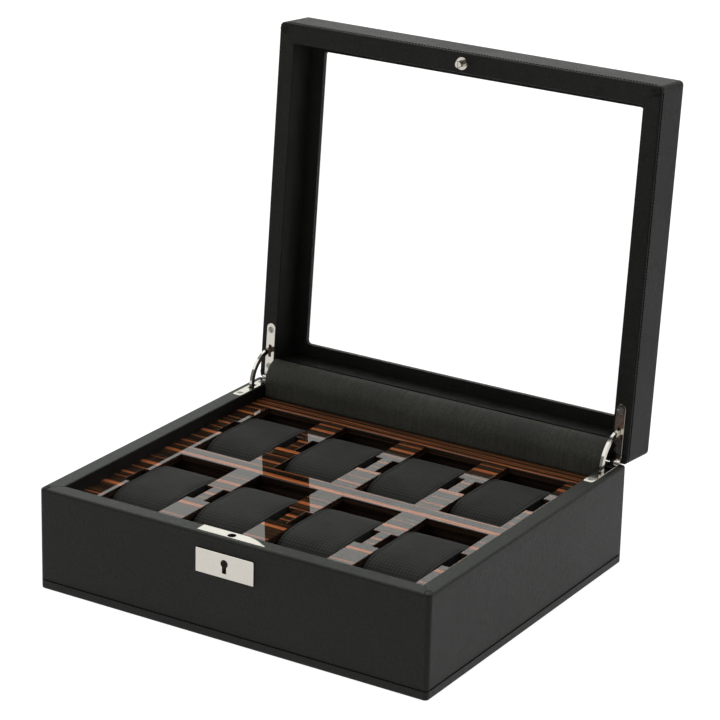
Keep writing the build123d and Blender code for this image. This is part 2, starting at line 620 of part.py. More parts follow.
def add_lid():
    """Boards, top frame, covering, glass, seal and bead of the lid."""
    tools = [stud_cutter(0.05)]
    for side in SIDES.values():
        tools += hinge_cutters(side, is_lid=True)
    hollow = block(-LID_INNER_X, LID_INNER_X, LID_INNER_FRONT, LID_INNER_REAR, LID_RIM - 1, LIP_BOTTOM)
    window = window_block(0, LIP_BOTTOM - 1, LID_TOP + 1, WINDOW_RADIUS)
    rebate = window_block(REBATE, LIP_TOP, LID_TOP + 1, WINDOW_RADIUS)
    body = rounded_frame(LID_RIM, LID_TOP, 0, LID_TOP_RADIUS, hollow) - window - rebate
    body = body - rear_edge_round(0, is_lid=True)

    frame = plan_block(SKIN, LIP_BOTTOM + SKIN, LID_TOP - SKIN)
    frame = fillet(frame.faces().sort_by(Axis.Z)[-1].edges(), LID_TOP_RADIUS - SKIN)
    frame = frame - window_block(SKIN, LIP_BOTTOM, LID_TOP, WINDOW_RADIUS)
    frame = frame - window_block(REBATE + SKIN, LIP_TOP, LID_TOP, WINDOW_RADIUS)
    boards = wall_boards("lid_wall", LID_INNER_X, LID_INNER_FRONT, LID_INNER_REAR,
                         LID_RIM + SKIN, LIP_BOTTOM + SKIN,
                         tools + [rear_edge_round(SKIN, is_lid=True)])
    for name, board in boards.items():
        parts[name] = open_lid(board)
    parts["lid_top_frame"] = open_lid(frame)
    creases = mitre_creases(LID_INNER_X, LID_INNER_FRONT, LID_INNER_REAR, LID_RIM)
    details = creases + [seam_channel(LID_RIM + LID_SEAM)]
    cover = cut(body - frame, list(boards.values()) + tools + details)
    parts["lid_cover"] = open_lid(cover)

    seal = window_block(REBATE - 0.3, LIP_TOP, GLASS_BOTTOM, WINDOW_RADIUS)
    seal = seal - window_block(1.5, LIP_TOP, GLASS_BOTTOM, WINDOW_RADIUS)
    parts["glass_seal"] = open_lid(seal)
    pane = window_block(REBATE - 0.5, GLASS_BOTTOM, GLASS_TOP, WINDOW_RADIUS)
    parts["window_glass"] = open_lid(pane)
    parts["glass_bead"] = open_lid(glass_bead())


def add_gusset():
    """The flap behind the deck: up the rear wall, then curved back over the lid's inner edge."""
    turned = radians(OPEN_ANGLE)
    reach, lift = HINGE_Y - LID_INNER_REAR, LID_RIM - HINGE_Z
    edge_y = HINGE_Y - reach * cos(turned) + lift * sin(turned)
    edge_z = HINGE_Z + reach * sin(turned) + lift * cos(turned)
    front, foot = GUSSET_FRONT, DECK_TOP + 0.1
    centre_y = edge_y + GUSSET_CLEAR
    outer = centre_y - front
    inner = outer - GUSSET_THICKNESS
    centre_z = edge_z + GUSSET_CLEAR - inner
    slant = cos(radians(45))
    outline = [
        Line((front, foot), (front, centre_z)),
        ThreePointArc((front, centre_z), (centre_y - outer * slant, centre_z + outer * slant),
                      (centre_y, centre_z + outer)),
        Line((centre_y, centre_z + outer), (centre_y, centre_z + inner)),
        ThreePointArc((centre_y, centre_z + inner), (centre_y - inner * slant, centre_z + inner * slant),
                      (centre_y - inner, centre_z)),
        Line((centre_y - inner, centre_z), (centre_y - inner, foot)),
        Line((centre_y - inner, foot), (front, foot)),
    ]
    half = LID_INNER_X - 2 * FIT
    side_view = Plane(origin=(-half, 0, 0), x_dir=(0, 1, 0), z_dir=(1, 0, 0))
    parts["hinge_gusset"] = extrude(side_view * make_face(outline), 2 * half)


# ---------------------------------------------------------------- build and write
add_base()
add_wells()
add_deck_and_cushions()
add_hinges()
add_lock()
add_stud()
add_lid()
add_gusset()

os.makedirs("parts", exist_ok=True)
for name, shape in parts.items():
    export_step(shape, f"parts/{name}.step")
print(len(parts), "nodes")
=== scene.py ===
"""Watch display box: materials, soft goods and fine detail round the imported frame, in metres, in its axes."""

import json
import math
import random

import bpy
from mathutils import Matrix, Vector, noise


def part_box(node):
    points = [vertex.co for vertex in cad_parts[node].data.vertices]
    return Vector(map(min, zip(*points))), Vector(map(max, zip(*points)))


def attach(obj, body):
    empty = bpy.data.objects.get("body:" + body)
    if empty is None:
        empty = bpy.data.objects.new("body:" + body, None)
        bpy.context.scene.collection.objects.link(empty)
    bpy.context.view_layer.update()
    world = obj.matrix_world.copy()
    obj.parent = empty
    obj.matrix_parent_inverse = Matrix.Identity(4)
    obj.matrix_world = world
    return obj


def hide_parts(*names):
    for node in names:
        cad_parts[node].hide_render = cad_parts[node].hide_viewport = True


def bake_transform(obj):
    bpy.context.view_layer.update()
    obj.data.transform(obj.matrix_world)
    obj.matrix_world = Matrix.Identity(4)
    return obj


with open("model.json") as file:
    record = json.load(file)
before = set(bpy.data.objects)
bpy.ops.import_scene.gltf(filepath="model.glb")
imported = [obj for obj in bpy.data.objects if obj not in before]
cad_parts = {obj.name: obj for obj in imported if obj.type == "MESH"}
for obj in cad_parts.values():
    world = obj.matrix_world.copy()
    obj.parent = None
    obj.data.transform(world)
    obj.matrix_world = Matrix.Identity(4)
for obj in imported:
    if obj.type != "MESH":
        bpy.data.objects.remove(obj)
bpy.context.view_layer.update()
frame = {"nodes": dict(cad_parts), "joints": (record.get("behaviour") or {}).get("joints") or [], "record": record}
MM = 0.001
SEED = 7
STILL = Matrix.Identity(4)

HINGE = next(j for j in frame["joints"] if j["name"] == "lid_hinge")
HINGE_POS = Vector(HINGE["pos_m"])
OPEN_ANGLE = math.radians(max(HINGE["range_deg"]))
# carries a point of the shut lid to where the lid stands open
TO_OPEN = (
    Matrix.Translation(HINGE_POS)
    @ Matrix.Rotation(-OPEN_ANGLE, 4, "X")
    @ Matrix.Translation(-HINGE_POS)
)

HALF_W, HALF_D, RIM_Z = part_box("base_cover")[1]
LID_RIM_Z = 2 * HINGE_POS.z - RIM_Z
BASE_SEAM_Z = 7.5 * MM
LID_SEAM_Z = LID_RIM_Z + 3.5 * MM
# widths of the rims
BASE_RIM = 13.5 * MM
LID_SIDE_RIM, LID_FRONT_RIM, LID_REAR_RIM = 14 * MM, 15.5 * MM, 17 * MM


# ---------------------------------------------------------------- materials
class Material:
    """A node material with short calls for the nodes used here."""

    def __init__(self, name):
        self.material = bpy.data.materials.new(name)
        self.material.use_nodes = True
        self.tree = self.material.node_tree
        self.shader = self.tree.nodes["Principled BSDF"]
        self.where = self.tree.nodes.new("ShaderNodeTexCoord")

    def set(self, **values):
        for key, value in values.items():
            self.shader.inputs[key.replace("_", " ")].default_value = value

    def feed(self, socket, source):
        self.tree.links.new(source, self.shader.inputs[socket])

    def node(self, kind, inputs=(), **settings):
        made = self.tree.nodes.new("ShaderNode" + kind)
        for key, value in settings.items():
            setattr(made, key, value)
        for key, value in dict(inputs).items():
            if isinstance(value, bpy.types.NodeSocket):
                self.tree.links.new(value, made.inputs[key])
            else:
                made.inputs[key].default_value = value
        return made

    def coords(self, scale=(1, 1, 1), turn=(0, 0, 0)):
        inputs = {"Vector": self.where.outputs["Object"], "Scale": scale, "Rotation": turn}
        return self.node("Mapping", inputs).outputs["Vector"]

    def noise(self, vector, scale, detail=3.0, roughness=0.5):
        inputs = {"Vector": vector, "Scale": scale, "Detail": detail, "Roughness": roughness}
        return self.node("TexNoise", inputs).outputs["Fac"]

    def cells(self, vector, scale):
        inputs = {"Vector": vector, "Scale": scale, "Randomness": 1.0}
        return self.node("TexVoronoi", inputs, feature="DISTANCE_TO_EDGE").outputs["Distance"]

    def math(self, operation, a, b=0.5):
        return self.node("Math", {0: a, 1: b}, operation=operation).outputs[0]

    def ramp(self, factor, stops, interpolation="LINEAR"):
        made = self.node("ValToRGB", {"Fac": factor})
        made.color_ramp.interpolation = interpolation
        elements = made.color_ramp.elements
        while len(elements) < len(stops):
            elements.new(0.5)
        for element, (position, value) in zip(elements, stops):
            element.position = position
            colour = (value,) * 3 if isinstance(value, (int, float)) else value
            element.color = (*colour, 1.0)
        return made.outputs["Color"]

    def mix(self, factor, a, b):
        made = self.node("Mix", data_type="RGBA")
        for socket, value in ((0, factor), (6, a), (7, b)):
            if isinstance(value, bpy.types.NodeSocket):
                self.tree.links.new(value, made.inputs[socket])
            else:
                made.inputs[socket].default_value = value if socket == 0 else (*value, 1.0)
        return made.outputs[2]

    def bump(self, height, strength, distance, normal=None):
        inputs = {"Height": height, "Strength": strength, "Distance": distance}
        made = self.node("Bump", inputs)
        if normal is not None:
            self.tree.links.new(normal, made.inputs["Normal"])
        return made.outputs["Normal"]


def leather_material(name, dark, light, rough, specular, grain=0.9, ribs=0.0, zone=None):
    """Black leatherette: pebbled grain, fine pores and a satin finish, perhaps with fine ribs.

    zone: an axis, the distances from the origin where a painted light or shade in the tone begins and is full, and
    its factors.
    """
    m = Material(name)
    at = m.coords()
    pebbles = m.cells(at, 1000 / grain)
    pebbles = m.ramp(pebbles, [(0.0, 0.0), (0.16, 0.75), (0.5, 1.0)], "EASE")
    pores = m.noise(at, 4200, 2.0)
    wrinkles = m.noise(m.coords((1.0, 1.25, 0.8)), 420, 4.0, 0.65)
    height = m.math("ADD", m.math("MULTIPLY", pebbles, 0.6), m.math("MULTIPLY", pores, 0.2))
    height = m.math("ADD", height, m.math("MULTIPLY", wrinkles, 1.8))
    lines = m.noise(m.coords((1100.0, 45.0, 45.0)), 1.0, 3.0, 0.6)
    height = m.math("ADD", height, m.math("MULTIPLY", lines, 2.2 * ribs))
    m.feed("Normal", m.bump(height, 0.8, 0.00032))
    cloud = m.noise(m.coords(), 17, 4.0, 0.6)
    mottle = m.noise(at, 620, 3.0, 0.7)
    tone = m.math("ADD", m.math("MULTIPLY", pebbles, 0.25), m.math("MULTIPLY", cloud, 0.35))
    tone = m.math("ADD", tone, m.math("MULTIPLY", mottle, 0.4))
    tone = m.math("ADD", tone, m.math("MULTIPLY", m.math("SUBTRACT", lines, 0.5), 0.5 * ribs))
    colour = m.ramp(tone, [(0.42, dark), (0.72, light)])
    # painted light or shade: the base colour multiplied up or down beyond a distance along one axis
    if zone is not None:
        axis, start, full, shade = zone
        reach = m.math("ABSOLUTE", m.node("SeparateXYZ", {"Vector": at}).outputs[axis])
        share = m.node("MapRange", {"Value": reach, "From Min": start, "From Max": full}).outputs["Result"]
        shaded = [tuple(part * change for part, change in zip(end, shade)) for end in (dark, light)]
        colour = m.mix(share, colour, m.ramp(tone, list(zip((0.42, 0.72), shaded))))
    m.feed("Base Color", colour)
    gloss = m.math("ADD", m.math("MULTIPLY", cloud, 0.4), m.math("MULTIPLY", mottle, 0.6))
    m.feed("Roughness", m.ramp(gloss, [(0.3, rough - 0.09), (0.7, rough + 0.09)]))
    m.set(Specular_IOR_Level=specular)
    return m.material


# the veneer's orange streaks: middle in millimetres behind the deck's centre, half width, strength
STREAKS = (
    (-119.0, 0.5, 0.55), (-108.0, 0.7, 0.6), (-85.0, 1.9, 1.0), (-70.5, 0.5, 0.5), (-62.0, 1.3, 0.8),
    (-49.0, 0.5, 0.5), (-36.5, 1.9, 1.0), (-24.5, 0.5, 0.45), (-5.5, 1.9, 1.0), (5.5, 0.4, 0.5),
    (16.5, 1.0, 0.75), (29.0, 0.5, 0.45), (42.5, 1.8, 0.95), (54.0, 0.5, 0.45), (64.5, 1.1, 0.8),
    (78.0, 0.5, 0.5), (92.5, 1.7, 1.0), (104.0, 0.7, 0.6), (112.6, 0.6, 0.9), (117.3, 0.25, 0.5),
    (120.0, 0.35, 0.7), (125.2, 0.3, 0.5),
)


def veneer_material():
    """Striped ebony: near-black heartwood with brown lines and orange streaks, under clear gloss lacquer."""
    m = Material("striped_ebony")
    at = m.coords()
    split = m.node("SeparateXYZ", {"Vector": at})
    drift = m.noise(m.coords((5.0, 26.0, 1.0)), 1.0, 2.0)
    drift = m.math("MULTIPLY", m.math("SUBTRACT", drift, 0.5), 0.0042)
    wander = m.noise(m.coords((26.0, 240.0, 1.0)), 1.0, 2.0)
    wander = m.math("MULTIPLY", m.math("SUBTRACT", wander, 0.5), 0.0016)
    across = m.math("ADD", m.math("ADD", split.outputs["Y"], drift), wander)
    masks = []
    for start in range(0, len(STREAKS), 6):
        group = STREAKS[start:start + 6]
        front, rear = group[0][0] - 4.0, group[-1][0] + 4.0
        span = {"Value": across, "From Min": front * MM, "From Max": rear * MM}
        share = m.node("MapRange", span).outputs["Result"]
        stops = [(0.0, 0.0)]
        for middle, half, level in group:
            rise = ((-half - 0.8, 0.0), (-half + 0.2, level))
            fall = ((half - 0.2, level * 0.85), (half + 1.1, 0.0))
            for offset, value in rise + fall:
                stops.append(((middle + offset - front) / (rear - front), value))
        stops.append((1.0, 0.0))
        masks.append(m.ramp(share, stops))
    streak = masks[0]
    for mask in masks[1:]:
        streak = m.math("MAXIMUM", streak, mask)
    fibres = m.noise(m.coords((7.0, 900.0, 60.0)), 1.0, 2.0, 0.5)
    lines = m.noise(m.coords((3.0, 330.0, 20.0)), 1.0, 3.0, 0.6)
    bands = m.noise(m.coords((4.0, 95.0, 1.0)), 1.0, 2.0, 0.5)
    flow = m.noise(m.coords((14.0, 620.0, 1.0)), 1.0, 2.0, 0.6)
    streak = m.math("MULTIPLY", streak, m.ramp(flow, [(0.30, 0.25), (0.50, 1.0)]))
    streak = m.math("MULTIPLY", streak, m.ramp(fibres, [(0.28, 0.5), (0.48, 1.0)]))
    ground = m.ramp(
        m.math("ADD", m.math("MULTIPLY", lines, 0.62), m.math("MULTIPLY", bands, 0.38)),
        [(0.36, (0.008, 0.0052, 0.0041)), (0.44, (0.014, 0.0085, 0.0062)), (0.50, (0.062, 0.031, 0.016)),
         (0.55, (0.019, 0.0105, 0.007)), (0.60, (0.115, 0.050, 0.020)), (0.66, (0.022, 0.0115, 0.007))],
    )
    ground = m.mix(m.ramp(fibres, [(0.48, 0.0), (0.75, 0.4)]), ground, (0.05, 0.024, 0.012))
    rear = m.node("MapRange", {"Value": across, "From Min": 0.1105, "From Max": 0.1135}).outputs["Result"]
    hairlines = m.noise(m.coords((2.2, 520.0, 1.0)), 1.0, 2.0, 0.6)
    brown = m.ramp(
        hairlines,
        [(0.36, (0.014, 0.008, 0.005)), (0.5, (0.056, 0.028, 0.014)), (0.66, (0.15, 0.068, 0.029))],
    )
    ground = m.mix(m.math("MULTIPLY", rear, 0.9), ground, brown)
    bright = m.mix(fibres, (0.52, 0.125, 0.036), (0.92, 0.30, 0.11))
    figure = m.mix(streak, ground, bright)
    facing = m.node("SeparateXYZ", {"Vector": m.node("NewGeometry").outputs["True Normal"]}).outputs["Z"]
    layers = m.noise(m.coords((8.0, 8.0, 900.0)), 1.0, 2.0, 0.6)
    edge = m.mix(m.ramp(layers, [(0.38, 0.0), (0.62, 1.0)]), (0.012, 0.007, 0.005), (0.065, 0.034, 0.020))
    m.feed("Base Color", m.mix(m.ramp(facing, [(0.5, 0.0), (0.85, 1.0)]), edge, figure))
    m.feed("Roughness", m.ramp(fibres, [(0.3, 0.34), (0.7, 0.50)]))
    m.set(Specular_IOR_Level=0.0, Coat_Weight=1.0, Coat_Roughness=0.012, Coat_IOR=1.5)
    return m.material


def weave_material():
    """Black cloth with a fine raised plain weave, laid out along each piece's own U and V in metres."""
    m = Material("cushion_weave")
    split = m.node("SeparateXYZ", {"Vector": m.where.outputs["UV"]})
    across = m.math("MULTIPLY", split.outputs["X"], math.pi / 0.0027)
    along = m.math("MULTIPLY", split.outputs["Y"], math.pi / 0.0030)
    jitter = m.math("MULTIPLY", m.math("SUBTRACT", m.noise(m.coords(), 420, 2.0), 0.5), 1.2)
    across = m.math("ADD", across, jitter)
    along = m.math("SUBTRACT", along, jitter)
    ridges = m.math("ABSOLUTE", m.math("SINE", across))
    courses = m.math("ABSOLUTE", m.math("SINE", along))
    cells = m.math("MULTIPLY", ridges, courses)
    warp = m.math("SINE", m.math("MULTIPLY", across, 5.0))
    weft = m.math("SINE", m.math("MULTIPLY", along, 5.0))
    over = m.math("MULTIPLY", warp, weft)
    fuzz = m.noise(m.coords(), 2600, 3.0, 0.6)
    height = m.math("ADD", m.math("MULTIPLY", cells, 0.5), m.math("MULTIPLY", over, 0.35))
    height = m.math("ADD", height, m.math("MULTIPLY", fuzz, 0.3))
    m.feed("Normal", m.bump(height, 0.5, 0.00022))
    cloud = m.noise(m.coords(), 42, 4.0, 0.6)
    tone = m.math("ADD", m.math("MULTIPLY", cells, 0.32), m.math("MULTIPLY", over, 0.12))
    tone = m.math("ADD", tone, m.math("MULTIPLY", cloud, 0.42))
    tone = m.math("ADD", tone, m.math("MULTIPLY", m.math("SUBTRACT", fuzz, 0.5), 0.4))
    m.feed("Base Color", m.ramp(tone, [(0.12, (0.022, 0.0215, 0.0202)), (0.62, (0.061, 0.0598, 0.0560))]))
    m.feed("Roughness", m.ramp(fuzz, [(0.3, 0.72), (0.7, 0.88)]))
    m.set(Specular_IOR_Level=0.16, Sheen_Weight=0.04, Sheen_Roughness=0.5)
    return m.material


def pile_material(name, dark, light, sheen=0.0):
    """Short pile or felt: a matt surface of tangled fibres."""
    m = Material(name)
    fibres = m.noise(m.coords(), 1500, 6.0, 0.72)
    tufts = m.noise(m.coords(), 160, 3.0)
    tone = m.math("ADD", m.math("MULTIPLY", fibres, 0.6), m.math("MULTIPLY", tufts, 0.4))
    m.feed("Base Color", m.ramp(tone, [(0.3, dark), (0.7, light)]))
    m.feed("Roughness", m.ramp(tufts, [(0.3, 0.85), (0.7, 0.97)]))
    m.feed("Normal", m.bump(fibres, 0.7, 0.0004))
    m.set(Specular_IOR_Level=0.15, Sheen_Weight=sheen, Sheen_Roughness=0.4)
    return m.material


def metal_material(name, colour, rough, stretch=(1.0, 1.0, 1.0), scratch=0.05):
    """Plated metal: nearly even tone, hairline polishing marks and slight waviness."""
    m = Material(name)
    hair = m.noise(m.coords(stretch), 900, 5.0, 0.7)
    waves = m.noise(m.coords(), 55, 2.0)
    haze = m.noise(m.coords(), 210, 4.0, 0.6)
    dim = tuple(c * 0.95 for c in colour)
    m.feed("Base Color", m.ramp(haze, [(0.3, dim), (0.65, colour)]))
    wear = m.math("ADD", m.math("MULTIPLY", hair, 0.4), m.math("MULTIPLY", haze, 0.6))
    m.feed("Roughness", m.ramp(wear, [(0.3, rough * 0.8), (0.72, rough * 1.3)]))
    normal = m.bump(waves, 0.10, 0.0003)
    m.feed("Normal", m.bump(hair, scratch, 0.00003, normal))
    m.set(Metallic=1.0)
    return m.material


def board_material(name, dark, light):
    """Pressed fibreboard: short tangled fibres in two tones."""
    m = Material(name)
    chips = m.noise(m.coords((1.0, 1.0, 2.5)), 700, 6.0, 0.7)
    blotch = m.noise(m.coords(), 60, 3.0)
    tone = m.math("ADD", m.math("MULTIPLY", chips, 0.7), m.math("MULTIPLY", blotch, 0.3))
    m.feed("Base Color", m.ramp(tone, [(0.3, dark), (0.7, light)]))
    m.feed("Roughness", m.ramp(chips, [(0.3, 0.75), (0.7, 0.92)]))
    m.feed("Normal", m.bump(chips, 0.4, 0.0003))
    m.set(Specular_IOR_Level=0.4)
    return m.material


def lined_board_material():
    """Board edged in dark brown veneer, with its grain running level."""
    m = Material("brown_edged_board")
    grain = m.noise(m.coords((7.0, 7.0, 620.0)), 1.0, 3.0, 0.65)
    drift = m.noise(m.coords(), 30, 2.0)
    tone = m.math("ADD", m.math("MULTIPLY", grain, 0.75), m.math("MULTIPLY", drift, 0.25))
    m.feed("Base Color", m.ramp(tone, [(0.36, (0.007, 0.004, 0.0027)), (0.64, (0.048, 0.026, 0.016))]))
    m.feed("Roughness", m.ramp(grain, [(0.3, 0.55), (0.7, 0.75)]))
    m.feed("Normal", m.bump(grain, 0.3, 0.0002))
    m.set(Specular_IOR_Level=0.2)
    return m.material


def thread_material(name, dark, light, specular=0.02):
    """Thread with its twist."""
    m = Material(name)
    leaning = m.coords(turn=(0.5, 0.6, 0.7))
    twist = m.node("TexWave", {"Vector": leaning, "Scale": 900.0, "Distortion": 1.5})
    fuzz = m.noise(m.coords(), 4200, 3.0)
    m.feed("Base Color", m.ramp(fuzz, [(0.3, dark), (0.7, light)]))
    m.feed("Roughness", m.ramp(fuzz, [(0.3, 0.62), (0.7, 0.8)]))
    m.feed("Normal", m.bump(twist.outputs["Fac"], 0.5, 0.0001))
    m.set(Specular_IOR_Level=specular)
    return m.material


def glass_material():
    """Clear pane: bends what is seen, and lets the lamps through."""
    m = Material("pane")
    ripple = m.noise(m.coords(), 9, 1.0)
    m.feed("Normal", m.bump(ripple, 0.02, 0.0004))
    m.set(Base_Color=(0.985, 0.995, 0.99, 1.0), Roughness=0.0, IOR=1.46, Transmission_Weight=1.0)
    rays = m.node("LightPath")
    clear = m.node("BsdfTransparent", {"Color": (0.97, 0.985, 0.98, 1.0)})
    inputs = {0: rays.outputs["Is Shadow Ray"], 1: m.shader.outputs[0], 2: clear.outputs[0]}
    chosen = m.node("MixShader", inputs)
    m.tree.links.new(chosen.outputs[0], m.tree.nodes["Material Output"].inputs["Surface"])
    return m.material


def floor_material():
    """Pale matt sweep, lit a little from below like a light table."""
    m = Material("pale_floor")
    cloud = m.noise(m.coords(), 2.0, 3.0)
    m.feed("Base Color", m.ramp(cloud, [(0.3, (0.23, 0.23, 0.23)), (0.7, (0.25, 0.25, 0.25))]))
    m.feed("Roughness", m.ramp(cloud, [(0.3, 0.75), (0.7, 0.85)]))
    m.set(Specular_IOR_Level=0.1, Emission_Color=(1.0, 1.0, 1.0, 1.0), Emission_Strength=0.96)
    return m.material


# where the base's rim and the lid's outer sides begin, and how much their tone differs: painted light makes the
# rim tops lighter and greener, painted shade darkens the lid's sides
RIM_PAINTED_LIGHT = ("Z", RIM_Z - 1.2 * MM, RIM_Z - 0.4 * MM, (4.2, 4.55, 4.1))
SIDE_PAINTED_SHADE = ("X", HALF_W - 1.2 * MM, HALF_W - 0.4 * MM, (0.15, 0.15, 0.15))
LEATHER_DARK = (0.0054, 0.0053, 0.0047)
LEATHER_LIGHT = (0.0180, 0.0177, 0.0160)
LEATHER = leather_material("leatherette", LEATHER_DARK, LEATHER_LIGHT, 0.44, specular=0.165)
# the base's leatherette, with painted light making its rim tops lighter and greener
LEATHER_BASE_PAINTED_RIM = leather_material(
    "leatherette_base_painted_rim_light", LEATHER_DARK, LEATHER_LIGHT, 0.44, specular=0.165, zone=RIM_PAINTED_LIGHT
)
# the lid's leatherette: painted shade darkens its outer sides, and its tone is a little lighter than the base's,
# painted reflection in place of the specular it gives up
LEATHER_LID_PAINTED_SIDES = leather_material(
    "leatherette_lid_painted_side_shade", (0.0076, 0.0074, 0.0066), (0.0252, 0.0248, 0.0224), 0.46,
    specular=0.115, zone=SIDE_PAINTED_SHADE,
)
# the gusset's leatherette: base colour several times lighter and greener than the cover's, painted light standing
# in for the sheen the flap catches
LEATHER_GUSSET_PAINTED_LIGHT = leather_material(
    "leatherette_gusset_painted_light", (0.042, 0.0428, 0.0355), (0.108, 0.1105, 0.0925), 0.60,
    specular=0.20, grain=0.8, ribs=0.8,
)
# near-black leatherette for the rim gathers: painted shade in their creases
LEATHER_CREASE_PAINTED_SHADE = leather_material(
    "leatherette_crease_painted_shade", (0.0010, 0.0010, 0.0009), (0.0035, 0.0035, 0.0032), 0.7, specular=0.02
)
VENEER = veneer_material()
WEAVE = weave_material()
LINING = pile_material("velvet_lining", (0.002, 0.002, 0.002), (0.006, 0.006, 0.006), sheen=0.05)
FELT = pile_material("felt", (0.008, 0.008, 0.008), (0.022, 0.022, 0.022))
FOAM = pile_material("foam", (0.05, 0.05, 0.055), (0.12, 0.12, 0.125))
NICKEL = metal_material("polished_nickel", (0.565, 0.535, 0.485), 0.11)
SCREW = metal_material("screw_nickel", (0.27, 0.262, 0.24), 0.28)
STEEL = metal_material("plain_steel", (0.45, 0.45, 0.46), 0.34, (1.0, 14.0, 1.0), 0.15)
BOARD = board_material("fibreboard", (0.09, 0.055, 0.03), (0.24, 0.155, 0.09))
LINED_BOARD = lined_board_material()
THREAD = thread_material("thread", (0.0015, 0.0015, 0.0014), (0.0050, 0.0050, 0.0047), 0.03)
# a matt dark cord in the seam channels: painted shade for the recess
SEAM_PAINTED_SHADE = thread_material("seam_shade_cord", (0.0045, 0.0045, 0.0042), (0.0120, 0.0120, 0.0112), 0.05)
# a black cord at the gusset's top edge: painted shade for the gap at the lid's inner edge
GUSSET_SHADE_CORD = thread_material("gusset_edge_shade_cord", (0.0015, 0.0015, 0.0015), (0.004, 0.004, 0.004))
CUSHION_THREAD = thread_material("cushion_thread", (0.006, 0.006, 0.0056), (0.014, 0.014, 0.013), 0.1)
WEAVE_EDGE = pile_material("welt_cloth", (0.010, 0.010, 0.0105), (0.026, 0.026, 0.026))
PANE = glass_material()
SEAL = pile_material("seal_strip", (0.012, 0.012, 0.012), (0.024, 0.024, 0.024))

NODE_MATERIAL = {
    "base_cover": LEATHER_BASE_PAINTED_RIM,
    "lid_cover": LEATHER_LID_PAINTED_SIDES,
    "hinge_base_screws": SCREW,
    "hinge_lid_screws": SCREW,
}
SLOT_MATERIAL = {
    "board": BOARD,
    "leatherette": LEATHER,
    "lined_board": LINED_BOARD,
    "lining": LINING,
    "felt": FELT,
    "foam": FOAM,
    "veneer": VENEER,
    "glass": PANE,
    "seal": SEAL,
    "steel": STEEL,
    "nickel": NICKEL,
    "cushion_cloth": WEAVE,
}


def paint_frame():
    """Gives every CAD node its own material, or else the one of its slot."""
    for part in frame["record"]["subparts"]:
        node = frame["nodes"][part["node"]]
        material = NODE_MATERIAL.get(part["node"], SLOT_MATERIAL[part["material_slot"]])
        if not node.material_slots:
            node.data.materials.append(material)
        for place in node.material_slots:
            place.material = material


# ---------------------------------------------------------------- mesh helpers
def mesh_object(name, points, faces, material, uvs=None):
    """A new piece from points in metres. uvs holds one U and V for each point."""
    mesh = bpy.data.meshes.new(name)
    mesh.from_pydata([tuple(p) for p in points], [], [tuple(f) for f in faces])
    mesh.materials.append(material)
    if uvs is not None:
        layer = mesh.uv_layers.new(name="UVMap")
        for loop in mesh.loops:
            layer.data[loop.index].uv = uvs[loop.vertex_index]
    for polygon in mesh.polygons:
        polygon.use_smooth = True
    mesh.validate()
    made = bpy.data.objects.new(name, mesh)
    bpy.context.scene.collection.objects.link(made)
    return made


def tube(path, radii, sides, up, flatten=1.0):
    """Points and faces of a closed tube along a path, with one radius for each path point."""
    points, faces = [], []
    count = len(path)
    for i, centre in enumerate(path):
        ahead = path[min(i + 1, count - 1)] - path[max(i - 1, 0)]
        side = ahead.cross(up).normalized()
        rise = side.cross(ahead).normalized()
        for k in range(sides):
            angle = 2 * math.pi * k / sides
            aside, lift = radii[i] * math.cos(angle), radii[i] * flatten * math.sin(angle)
            points.append(centre + side * aside + rise * lift)
    for i in range(count - 1):
        for k in range(sides):
            a, b = i * sides + k, i * sides + (k + 1) % sides
            faces.append((a, b, b + sides, a + sides))
    faces.append(tuple(range(sides))[::-1])
    faces.append(tuple(range((count - 1) * sides, count * sides)))
    return points, faces


def closed_tube(batch, loop, radius, side):
    """Adds a round cord along a closed loop that lies flat across the side direction."""
    points, faces = [], []
    sides = 8
    count = len(loop)
    for i, centre in enumerate(loop):
        ahead = (loop[(i + 1) % count] - loop[i - 1]).normalized()
        rise = ahead.cross(side).normalized()
        for k in range(sides):
            angle = 2 * math.pi * k / sides
            points.append(centre + side * (radius * math.cos(angle)) + rise * (radius * math.sin(angle)))
    for i in range(count):
        j = (i + 1) % count
        for k in range(sides):
            n = (k + 1) % sides
            faces.append((i * sides + k, i * sides + n, j * sides + n, j * sides + k))
    batch.add(points, faces)


class Batch:
    """Many small closed shapes gathered into one piece."""

    def __init__(self):
        self.points, self.faces = [], []

    def add(self, points, faces):
        start = len(self.points)
        self.points += points
        self.faces += [tuple(start + i for i in face) for face in faces]

    def piece(self, name, material, body):
        made = mesh_object(name, self.points, self.faces, material)
        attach(made, body)
        return made


def stitch(batch, centre, along, out, length, radius, jitter):
    """One thread stitch that dips into the leather at both ends."""
    lean = out.cross(along) * jitter
    path = []
    for share, lift in ((-0.5, -1.1), (-0.40, 0.1), (-0.16, 0.75), (0.16, 0.75), (0.40, 0.1), (0.5, -1.1)):
        path.append(centre + along * (length * share) + lean * share * 2 + out * (radius * lift))
    radii = [radius * r for r in (0.55, 0.9, 1.0, 1.0, 0.9, 0.55)]
    batch.add(*tube(path, radii, 7, out))


def stitch_row(batch, start, end, out, place, pitch=2.6 * MM, length=1.60 * MM, radius=0.42 * MM):
    """A straight row of stitches from start to end. place carries each one to where its body is."""
    span = end - start
    along = span.normalized()
    count = int(span.length / pitch)
    rest = (span.length - (count - 1) * pitch) / 2
    draw = random.Random(SEED + count)
    turn = place.to_3x3()
    for i in range(count):
        centre = start + along * (rest + i * pitch)
        reach = length * draw.uniform(0.93, 1.05)
        jitter = draw.uniform(-0.09, 0.09) * MM
        stitch(batch, place @ centre, turn @ along, turn @ out, reach, radius, jitter)


